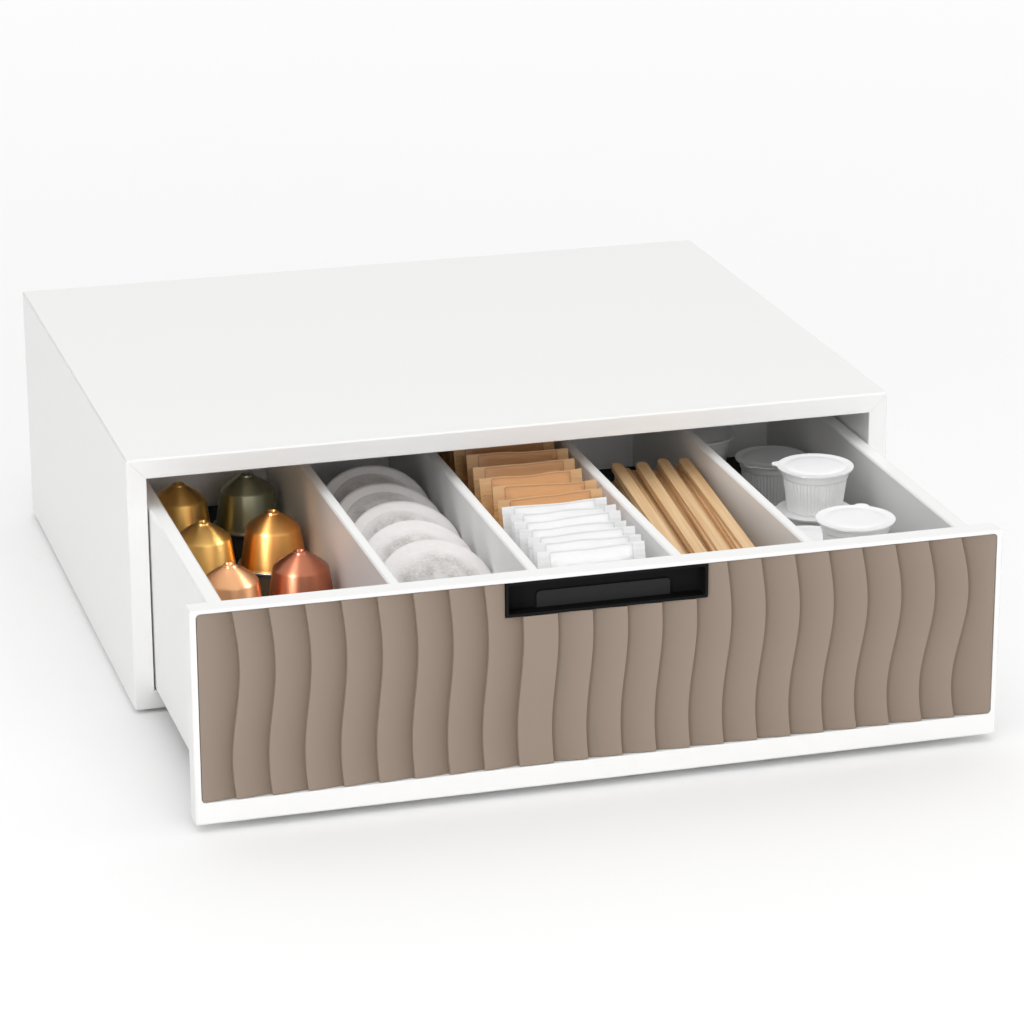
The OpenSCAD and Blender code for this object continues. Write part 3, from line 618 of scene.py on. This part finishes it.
class POD_OT_pads(bpy.types.Operator):
    """Makes the five coffee pads"""

    bl_idname = "pod_drawer.pads"
    bl_label = "Coffee pads"

    count, turns = 5, 96
    lean = 51.0  # degrees from upright
    thick = 10.5 * MM
    room = 3 * MM  # beside the pads, both sides together
    lift = 0.6 * MM  # the wavy rims above the liner
    slack = 1.2 * MM  # how far right every other pad stands, and the others 0.3 of it
    # From the back to the first pad's top and from pad to pad: shares of the drawer's depth
    first, step = 0.25, 0.112

    def execute(self, context):
        # Heat-sealed filter paper over ground coffee: fibrous, white, with grey grounds showing through.
        # The grains are 1.4 mm and the clouds 8 mm across, coarser than real grounds so that they show
        filter_paper = context.scene.pod_contents.filter_paper
        paper, tree, bsdf = shader("Heat sealed filter paper", filter_paper, 0.85)
        grains = speckle(tree, 700.0, detail=5.0, Roughness=0.65)
        clouds = speckle(tree, 130.0, detail=2.0)
        dark = add(tree, "ShaderNodeMapRange", grains * clouds, 0.14, 0.40, 0.30, 1.0)
        tint(tree, bsdf, marked(tree, "filling") * dark, (0.0, filter_paper), (1.0, "#a39e9b"))
        bump(tree, bsdf, grains, 0.5, 0.4 * MM)

        r, t = (width(PAD_BAY) - self.room) / 2, self.thick
        half = [
            (0, t * 0.50), (r * 0.20, t * 0.50), (r * 0.40, t * 0.47), (r * 0.55, t * 0.40),
            (r * 0.66, t * 0.29), (r * 0.74, t * 0.16), (r * 0.79, 0.0010), (r * 0.80, 0.0003),
            (r * 0.90, 0.0003), (r, 0.0002),
        ]
        profile = rounded(half, 1.2 * MM, 3)
        profile += [(a, -b) for a, b in reversed(profile)]
        lean = math.radians(self.lean)
        parts, filling = [], []
        for i in range(self.count):
            verts, faces = lathe(profile, self.turns)
            for n, (x, y, z) in enumerate(verts):
                rr = math.hypot(x, y) / r
                fill = clamp((0.82 - rr) / 0.08)
                seed = Vector((x * 120 + 31 * i, y * 120, 5 + (7 if z > 0 else 0)))
                lump = noise.fractal(seed, 0.9, 2.2, 3) * 0.0006 * fill
                crimp = 0.0002 * math.sin(60 * math.atan2(y, x)) * (1 - fill) if rr < 0.985 else 0
                wave = 0.0006 * noise.noise(Vector((x * 30, y * 30, 40 + i))) * clamp((rr - 0.6) * 3)
                verts[n] = (x, y, z + (lump if z > 0 else -lump) + crimp + wave)
                # Grounds show least near the rim, and the filling is darker towards each pad's lower edge
                filling.append(eased((0.84 - rr) / 0.30) * (0.92 - 0.42 * y / r) + 0.10)
            foot = BAY_REAR - self.first * DEPTH - 2 * r * math.sin(lean) - i * self.step * DEPTH
            aside = self.slack * (1 if i % 2 == 0 else 0.3)
            spot = (
                Matrix.Translation((middle(PAD_BAY) + aside, foot, BED + self.lift))
                @ Matrix.Rotation(-lean, 4, "X") @ Matrix.Translation((0, 0, r))
                @ Matrix.Rotation(math.pi / 2, 4, "X")
            )
            parts.append((moved(verts, spot), faces))
        obj = mesh_object("filter_pads", *joined(parts))
        store(obj, "filling", "FLOAT", filling)
        obj.data.materials.append(paper)
        place(obj, "filter_paper", "coffee_pads")
        return {"FINISHED"}


def sachet_mesh(w, h, bulge, seal, tag):
    """A flat packet, sealed at both sides and ends and filled between, standing on its lower edge."""
    columns, rows = 40, 34
    verts, faces = [], []
    for sign in (-1, 1):
        for j in range(rows + 1):
            for i in range(columns + 1):
                x, z = w * (i / columns - 0.5), h * j / rows
                ends = clamp((z - 0.007) / 0.009) * clamp((h - 0.0012 - z) / 0.0065)
                full = eased((w / 2 - seal - abs(x)) / 0.0035) * eased(ends)
                crease = noise.noise(Vector((x * 70 + tag * 3, z * 240 + tag * 9, sign * 3))) * 0.0014
                crease += noise.fractal(Vector((x * 140, z * 170 + tag * 5, sign * 7)), 1.0, 2.0, 2) * 0.0010
                puff = bulge / 2 * full * (0.85 + 0.3 * noise.noise(Vector((x * 40, z * 40, tag))))
                flat = 0.0002 + 0.00005 * noise.noise(Vector((x * 200, z * 200, tag)))
                edge_wave = 0.0007 * noise.noise(Vector((x * 25, z * 18, tag * 3 + 0.5)))
                dip = 0.0009 * (z / h) ** 8 * (0.5 + noise.noise(Vector((x * 60, tag * 7, 2.5))))
                y = sign * (flat + max(0.0, puff + crease * full)) + edge_wave
                verts.append((x, y, z - max(0.0, dip)))
    wide = columns + 1
    sheet = wide * (rows + 1)
    for j in range(rows):
        for i in range(columns):
            a = j * wide + i
            faces.append((a, a + 1, a + wide + 1, a + wide))
            faces.append((sheet + a + wide, sheet + a + wide + 1, sheet + a + 1, sheet + a))
    rim = list(range(wide))
    rim += [j * wide + columns for j in range(1, rows + 1)]
    rim += [rows * wide + i for i in range(columns - 1, -1, -1)]
    rim += [j * wide for j in range(rows - 1, 0, -1)]
    for a, b in zip(rim, rim[1:] + rim[:1]):
        faces.append((a, sheet + a, sheet + b, b))
    return verts, faces


class POD_OT_sachets(bpy.types.Operator):
    """Makes the brown and the white sachets"""

    bl_idname = "pod_drawer.sachets"
    bl_label = "Sachets"

    brown, white = 9, 7
    lean = 16.0  # degrees backwards
    high = 50 * MM
    room = 12 * MM  # beside a sachet, both sides together
    top_seal = 1.3 * MM
    # Steps between sachets, from the white to the brown ones and from the front: shares of the depth
    brown_step, white_step, kind_step, front_gap = 0.0652, 0.041, 0.0455, 0.03

    def execute(self, context):
        contents = context.scene.pod_contents
        rng = random.Random(contents.seed)
        # Unbleached kraft paper, heat sealed: fibrous, dull, paler where it is pressed flat. Its 1.7 mm
        # fibres, like the white paper's of 2.5 mm, are coarser than real ones so that they show
        # Each ramp's 0.45 stop is painted shade, a darker line where the seal meets the filling
        kraft = self.sealed(
            shader("Unbleached kraft paper", contents.kraft, 0.8), (600.0, 4.0), 0.7,
            (0.0, contents.kraft), (0.45, "#b17c44"), (0.75, "#d8a56b"), (1.0, "#d9aa72"),
        )
        # White clay-coated paper, heat sealed: smooth and bright
        coated = self.sealed(
            shader("White coated paper", contents.paper, 0.6), (400.0, 2.0), 0.5,
            (0.0, contents.paper), (0.45, "#d6d6d8"), (0.75, "#eeeeee"), (1.0, "#f2f2f2"),
        )

        count, w, h = self.brown + self.white, width(SACHET_BAY) - self.room, self.high
        slack = self.room / 2 - 0.5 * MM
        white_first = BAY_FRONT + self.front_gap * DEPTH + (self.white - 1) * self.white_step * DEPTH
        brown_first = white_first + self.kind_step * DEPTH + (self.brown - 1) * self.brown_step * DEPTH
        browns, whites = range(self.brown), range(self.brown, count)
        # The rearmost sachet's place and the step to the next, then bulge and width of the side seals
        rows = [
            ("kraft_sachets", "kraft_paper", "brown_sachets", kraft, browns,
             brown_first, self.brown_step * DEPTH, 0.0100, 0.0065),
            ("paper_sachets", "white_paper", "white_sachets", coated, whites,
             white_first, self.white_step * DEPTH, 0.0078, 0.0060),
        ]
        for name, slot, node, material, numbers, first, step, bulge, seal in rows:
            parts, marks = [], []
            for k, i in enumerate(numbers):
                verts, faces = sachet_mesh(w, h, bulge, seal, i * 1.7)
                marks += [1.0 if abs(v[0]) > w / 2 - seal or v[2] > h - self.top_seal else 0.0 for v in verts]
                x = middle(SACHET_BAY) + slack * (0.85 - 1.1 * i / (count - 1) + 0.12 * ((i * 2) % 3 - 1))
                lean = math.radians(self.lean + rng.uniform(-0.8, 0.8))
                roll = math.radians(rng.uniform(-1.1, 1.1))
                turn = math.radians(rng.uniform(-0.8, 0.8))
                spot = (
                    Matrix.Translation((x, first - k * step, BED + 0.0003 + w / 2 * abs(math.sin(roll))))
                    @ Matrix.Rotation(turn, 4, "Z") @ Matrix.Rotation(-lean, 4, "X")
                    @ Matrix.Rotation(roll, 4, "Y")
                )
                parts.append((moved(verts, spot), faces))
            obj = mesh_object(name, *joined(parts))
            store(obj, "seal", "FLOAT", marks)
            obj.data.materials.append(material)
            crisp(obj, 70)
            place(obj, slot, node)
        return {"FINISHED"}

    def sealed(self, made, fibre, strength, *stops):
        """Gives a paper its tones from the filling to the seals, with painted shade in a darker line where
        they meet, its creases and its fibres.
        """
        material, tree, bsdf = made
        # The darker stop between the filling's tone and the seal's is a painted shade line along that crease
        tint(tree, bsdf, marked(tree, "seal"), *stops)
        # Creases 3 mm wide and 17 mm long run across the packet, with a little of a finer noise
        coords = add(tree, "ShaderNodeTexCoord").outputs["Object"]
        across = add(tree, "ShaderNodeMapping", coords, named={"Scale": (60.0, 330.0, 330.0)})
        look = {"Vector": across, "Scale": 1.0, "Detail": 3.0, "Roughness": 0.55}
        creases = Worked(tree, add(tree, "ShaderNodeTexNoise", named=look).outputs["Fac"])
        bump(tree, bsdf, creases + speckle(tree, *fibre) * 0.12, strength, 1.2 * MM)
        return material


class POD_OT_stirrers(bpy.types.Operator):
    """Lays the stack of flat wooden stirrers"""

    bl_idname = "pod_drawer.stirrers"
    bl_label = "Stirrers"

    length, wide, thick = 155 * MM, 6 * MM, 2 * MM
    layers, count = 18, 4
    turn = -6.0  # degrees from straight ahead
    widest_turn = 6.5  # degrees that the bay leaves room for
    rear = 0.352  # share of the drawer's depth behind them
    # The ends are half ellipses: this many times as long as a half circle
    end_stretch = 1.9

    def execute(self, context):
        contents = context.scene.pod_contents
        group, ids, sizes = self.slats(self.birch(contents.birch))
        rng = random.Random(contents.seed + 1)
        slant = self.length * math.sin(math.radians(self.widest_turn))
        spread = width(STIRRER_BAY) - slant - self.wide - 0.6 * MM
        points, turns, tones = [], [], []
        for k in range(self.layers):
            # The two top layers lie a little wider apart, and those below shift from side to side
            on_top = k >= self.layers - 2
            pitch = spread * (0.325 if on_top else 0.28)
            shift = spread * (0.01 if on_top else 0.06 * (2 * (k % 2) - 1))
            for i in range(self.count):
                x = middle(STIRRER_BAY) + (i - (self.count - 1) / 2) * pitch + shift
                uneven_end = 3 * MM * math.sin(math.radians(90 * i * i + 75 * k))
                y = BAY_REAR - self.rear * DEPTH - self.length / 2 + uneven_end
                points.append((x, y, BED + k * (self.thick + 0.00002)))
                uneven = 0.4 * math.sin(math.radians(130 * k))
                uneven += 0.5 * math.sin(math.radians(100 * i + 70 * k))
                turns += [0.0, 0.0, math.radians(self.turn + uneven)]
                tones += [rng.random(), rng.random(), rng.random()]
        maker = mesh_object("stirrer_maker", points, [])
        store(maker, "turn", "FLOAT_VECTOR", turns)
        store(maker, "tone", "FLOAT_VECTOR", tones)
        stack = run_group(maker, group, ids, sizes, "birch_stirrers")
        place(stack, "birch_wood", "stirrers")
        return {"FINISHED"}

    def birch(self, pale):
        # Sliced birch, sanded smooth: pale, with long grain 1.1 mm wide
        birch, tree, bsdf = shader("Sanded birch", pale, 0.55)
        coords = add(tree, "ShaderNodeTexCoord").outputs["Object"]
        tone = add(tree, "ShaderNodeAttribute", attribute_name="tone").outputs["Vector"]
        # Each stirrer has its own piece of the grain, which runs along it
        shifted = add(tree, "ShaderNodeVectorMath", coords, tone, operation="ADD")
        back = {"Angle": math.radians(-self.turn)}
        along = add(tree, "ShaderNodeVectorRotate", shifted, rotation_type="Z_AXIS", named=back)
        long_grain = add(tree, "ShaderNodeMapping", along, named={"Scale": (900.0, 12.0, 900.0)})
        look = {"Vector": long_grain, "Scale": 1.0, "Detail": 3.0}
        grain = Worked(tree, add(tree, "ShaderNodeTexNoise", named=look).outputs["Fac"])
        tint(tree, bsdf, grain + marked(tree, "tone") * 0.35, (0.35, pale), (0.95, "#cfa471"))
        bump(tree, bsdf, grain, 0.2, 0.2 * MM, edges=0.5 * MM)
        return birch

    def slats(self, birch):
        """The node group that lays one stirrer on each point; returns it, its identifiers and its sizes."""
        sizes = {"Length": self.length, "Width": self.wide, "Thickness": self.thick}
        group, given, ids = geometry_group("Stirrer stack", sizes, ())
        short = given["Length"] * (1 / self.end_stretch)
        oblong = add(group, "GeometryNodeCurvePrimitiveQuadrilateral", given["Width"], short)
        corner = {"Radius": given["Width"] * 0.4999, "Count": 10}
        ends = add(group, "GeometryNodeFilletCurve", oblong, mode="POLY", named=corner)
        drawn = add(group, "GeometryNodeTransform", ends, named={"Scale": (1.0, self.end_stretch, 1.0)})
        blade = add(group, "GeometryNodeFillCurve", drawn, mode="NGONS")
        up = add(group, "ShaderNodeCombineXYZ", 0.0, 0.0, given["Thickness"])
        rise = {"Offset": up, "Offset Scale": 1.0, "Individual": False}
        raised = add(group, "GeometryNodeExtrudeMesh", blade, named=rise)
        under = add(group, "GeometryNodeFlipFaces", blade)
        both = add(group, "GeometryNodeJoinGeometry")
        group.links.new(raised.outputs["Mesh"], both.inputs[0])
        group.links.new(under.outputs["Mesh"], both.inputs[0])
        slat = add(group, "GeometryNodeMergeByDistance", both, named={"Distance": 1e-6})
        turn = add(group, "GeometryNodeInputNamedAttribute", "turn", data_type="FLOAT_VECTOR").outputs[0]
        each = {"Instance": slat, "Rotation": turn}
        laid = add(group, "GeometryNodeInstanceOnPoints", given["Geometry"], named=each)
        real = add(group, "GeometryNodeRealizeInstances", laid)
        flat = add(group, "GeometryNodeSetShadeSmooth", real, None, False)
        add(group, "NodeGroupOutput", add(group, "GeometryNodeSetMaterial", flat, named={"Material": birch}))
        return group, ids, sizes


class POD_OT_creamers(bpy.types.Operator):
    """Makes the ribbed creamer cups and their lids"""

    bl_idname = "pod_drawer.creamers"
    bl_label = "Creamer cups"

    high, across, lid = 23 * MM, 39 * MM, 0.4 * MM
    ribs, rib_depth = 54, 0.5 * MM
    # Share of the depth from the back, share of the slack beside the cup, level, direction of the tab
    spots = [(0.088, -0.75, 0, 20), (0.27, 0.76, 0, 215), (0.59, 0.26, 0, 160), (0.59, 0.26, 1, 155),
             (0.745, -0.88, 0, 40), (0.894, -0.35, 0, 70), (0.894, -0.35, 1, 60)]

    def execute(self, context):
        # Thermoformed white polystyrene: glossy, slightly see-through at the thin wall
        cup, tree, bsdf = shader("Thermoformed white polystyrene", "#f6f6f5", 0.28, subsurface_weight=0.12)
        bsdf.inputs["Subsurface Radius"].default_value = (3 * MM, 3 * MM, 3 * MM)
        # Peelable sealing film: smooth, with 9 mm waves and a soft gloss
        film, tree, bsdf = shader("White sealing film", "#f3f3f4", 0.3)
        bump(tree, bsdf, speckle(tree, 110.0, detail=1.0), 0.25, 0.6 * MM)

        r, h = self.across / 2, self.high
        foot, neck = r * 0.72, r * 0.87
        slack = (width(CREAMER_BAY) - self.across) / 2 - 0.5 * MM
        wall = rounded([
            (0, 0.0012), (foot * 0.8, 0.0010), (foot * 0.86, 0.0), (foot - 0.0003, 0.0), (foot, 0.0008),
            (foot + (neck - foot) * 0.05, 0.0018), (foot + (neck - foot) * 0.78, h * 0.76),
            (neck, h * 0.80), (neck + 0.0003, h - 0.0012), (r - 0.0006, h - 0.0010), (r - 0.0002, h - 0.0006),
            (r - 0.0002, h), (0, h),
        ], 0.5 * MM, 3)
        top = [(0, 0.0003), (r * 0.55, 0.0004), (r * 0.76, 0.0003), (r * 0.80, 0.0), (r * 0.84, 0.0003),
               (r, 0.0003)]

        def ribbed(row, k):
            on_wall = 0.0015 < wall[row][1] < h * 0.77 and wall[row][0] > foot * 0.95
            return -self.rib_depth * (0.5 + 0.5 * math.cos(2 * math.pi * k / 4)) if on_wall else 0.0

        cups, lids = [], []
        for back, side, storey, tab in self.spots:
            at = (middle(CREAMER_BAY) + side * slack, BAY_REAR - back * DEPTH, BED + storey * (h + self.lid))
            spot = Matrix.Translation(at)
            verts, faces = lathe(wall, self.ribs * 4, ribbed)
            cups.append((moved(verts, spot), faces))
            turned = spot @ Matrix.Translation((0, 0, h)) @ Matrix.Rotation(math.radians(tab), 4, "Z")
            lids.append(self.make_lid(r, turned, top))
        for name, parts, material, slot, node in (
            ("creamer_walls", cups, cup, "cup_plastic", "creamer_cups"),
            ("creamer_films", lids, film, "lid_film", "creamer_lids"),
        ):
            obj = mesh_object(name, *joined(parts))
            obj.data.materials.append(material)
            crisp(obj, 50)
            place(obj, slot, node)
        return {"FINISHED"}

    def make_lid(self, r, spot, top):
        """A thin film lid with a pull tab at +X."""
        turns = 96
        tab_r = r / 5

        def reach(a):
            # Outline of the round lid joined with the tab's circle
            c = r - 0.001
            s = math.sin(a) * c
            inside = tab_r * tab_r - s * s
            far = c * math.cos(a) + math.sqrt(inside) if inside > 0 and math.cos(a) > 0 else 0
            return max(r, far)

        rings, verts, faces = [], [(0, 0, top[0][1])], []
        for share, z in [(p[0] / r, p[1]) for p in top[1:]] + [(1.0, 0.0)]:
            ring = []
            for k in range(turns):
                a = 2 * math.pi * k / turns
                edge = reach(a) if share == 1.0 else share * r
                ring.append(len(verts))
                up = z + (0.0001 if share == 1.0 and z else 0)
                verts.append((edge * math.cos(a), edge * math.sin(a), up))
            rings.append(ring)
        base = len(verts)
        verts.append((0, 0, 0))
        for k in range(turns):
            n = (k + 1) % turns
            faces.append((0, rings[0][k], rings[0][n]))
            for low, high in zip(rings, rings[1:]):
                faces.append((low[k], high[k], high[n], low[n]))
            faces.append((rings[-1][k], base, rings[-1][n]))
        return moved(verts, spot), faces


# ---- stage ----


class POD_OT_stage(bpy.types.Operator):
    """Sets the floor, the soft light and the camera"""

    bl_idname = "pod_drawer.stage"
    bl_label = "Stage"

    floor_half = 6.0

    def execute(self, context):
        stage, scene = context.scene.pod_stage, context.scene
        scene.view_settings.view_transform = "Standard"
        self.sky(scene, stage)
        self.floor()
        # Place, what it points at, width and height, power. Only the first one lights dull surfaces too
        for name, spot, target, wide, tall, power in (
            ("front_softbox", (0.2, -2.2, 0.6), (0, -0.1, 0.06), 1.2, 1.2, stage.front),
            ("glint_left", (-1.45, -1.3, 0.68), (-0.1, -0.1, 0.08), 0.4, 1.2, stage.glint),
            ("glint_right", (1.5, -0.6, 0.85), (-0.1, -0.1, 0.08), 0.2, 1.6, stage.glint / 3),
            ("glint_low", (-0.95, -1.9, 0.30), (-0.1, -0.05, 0.08), 0.25, 0.5, stage.glint / 8),
        ):
            lamp = bpy.data.lights.new(name, "AREA")
            lamp.shape = "RECTANGLE"
            lamp.energy, lamp.size, lamp.size_y = power, wide, tall
            holder = bpy.data.objects.new(name, lamp)
            scene.collection.objects.link(holder)
            holder.location = spot
            holder.rotation_euler = (Vector(target) - Vector(spot)).to_track_quat("-Z", "Y").to_euler()
            holder.visible_diffuse = name == "front_softbox"
        self.camera(scene, stage)
        return {"FINISHED"}

    def sky(self, scene, stage):
        """A studio sky, brighter overhead: plain white to the camera, dimmer where shiny pieces mirror it."""
        world = bpy.data.worlds.new("Studio")
        scene.world = world
        world.use_nodes = True
        tree = world.node_tree
        light = tree.nodes["Background"]
        light.inputs["Color"].default_value = (1, 1, 1, 1)
        heading = add(tree, "ShaderNodeSeparateXYZ", add(tree, "ShaderNodeTexCoord").outputs["Generated"])
        sky = add(tree, "ShaderNodeMapRange", heading.outputs["Z"], 0.0, 1.0, stage.sky_low, stage.sky_high)
        path = add(tree, "ShaderNodeLightPath").outputs
        seen = Worked(tree, path["Is Camera Ray"]).by("MAXIMUM", path["Is Transmission Ray"])
        share = add(tree, "ShaderNodeMapRange", path["Is Glossy Ray"], 0.0, 1.0, 1.0, stage.mirrored)
        dimmed = Worked(tree, sky.outputs[0]) * share
        strength = add(tree, "ShaderNodeMapRange", seen, 0.0, 1.0, dimmed, 1.0)
        tree.links.new(strength.outputs[0], light.inputs["Strength"])

    def floor(self):
        """White paper, painted a little whiter further away, where the light falls off: painted light that
        evens out the falloff.
        """
        far = self.floor_half
        corners = [(-far, -far, 0), (far, -far, 0), (far, far, 0), (-far, far, 0)]
        floor = mesh_object("studio_floor", corners, [(0, 1, 2, 3)], smooth=False)
        # Matt paper sweep: dull
        paper, tree, bsdf = shader("White paper floor", "#f6f6f6", 0.9)
        coords = add(tree, "ShaderNodeTexCoord").outputs["Object"]
        away = add(tree, "ShaderNodeVectorMath", coords, operation="LENGTH").outputs["Value"]
        # Painted light: darker near the middle and whiter further away, against the light's falloff
        painted_falloff_albedo = add(tree, "ShaderNodeMapRange", away, 0.6, 2.4, 0.866, 0.972)
        tree.links.new(painted_falloff_albedo.outputs[0], bsdf.inputs["Base Color"])
        floor.data.materials.append(paper)

    def camera(self, scene, stage):
        camera = bpy.data.cameras.new("view")
        camera.lens, camera.sensor_width, camera.clip_end = stage.lens, 36.0, 20.0
        holder = bpy.data.objects.new("view", camera)
        scene.collection.objects.link(holder)
        yaw, pitch, roll = stage.yaw, stage.pitch, stage.roll
        ahead = Vector((math.sin(yaw) * math.cos(pitch), math.cos(yaw) * math.cos(pitch), -math.sin(pitch)))
        right = Vector((math.cos(yaw), -math.sin(yaw), 0))
        up = right.cross(ahead)
        c, s = math.cos(roll), math.sin(roll)
        right, up = c * right + s * up, -s * right + c * up
        turn = Matrix((right, up, -ahead)).transposed().to_4x4()
        holder.matrix_world = Matrix.Translation(stage.eye) @ turn
        scene.camera = holder


# ---- add-on ----

STEPS = (POD_OT_finishes, POD_OT_relief, POD_OT_capsules, POD_OT_pads, POD_OT_sachets, POD_OT_stirrers,
         POD_OT_creamers, POD_OT_stage)


class POD_PT_panel(bpy.types.Panel):
    """Lists the steps that dress the drawer"""

    bl_label = "Pod Drawer"
    bl_idname = "POD_PT_panel"
    bl_space_type = "VIEW_3D"
    bl_region_type = "UI"
    bl_category = "Pod Drawer"

    def draw(self, context):
        for key in GROUPS:
            group, box = getattr(context.scene, key), self.layout.box()
            for name in group.bl_rna.properties.keys():
                if name not in ("rna_type", "name"):
                    box.prop(group, name)
        for step in STEPS:
            self.layout.operator(step.bl_idname)


GROUPS = {
    "pod_finish": PodDrawerFinish,
    "pod_relief": PodDrawerRelief,
    "pod_contents": PodDrawerContents,
    "pod_stage": PodDrawerStage,
}


def register():
    for cls in (*GROUPS.values(), *STEPS, POD_PT_panel):
        bpy.utils.register_class(cls)
    for name, cls in GROUPS.items():
        setattr(bpy.types.Scene, name, PointerProperty(type=cls))


def unregister():
    for name in GROUPS:
        delattr(bpy.types.Scene, name)
    for cls in reversed((*GROUPS.values(), *STEPS, POD_PT_panel)):
        bpy.utils.unregister_class(cls)


def main():
    register()
    bpy.ops.pod_drawer.finishes()
    bpy.ops.pod_drawer.relief()
    bpy.ops.pod_drawer.capsules()
    bpy.ops.pod_drawer.pads()
    bpy.ops.pod_drawer.sachets()
    bpy.ops.pod_drawer.stirrers()
    bpy.ops.pod_drawer.creamers()
    bpy.ops.pod_drawer.stage()


if __name__ == "__main__":
    main()
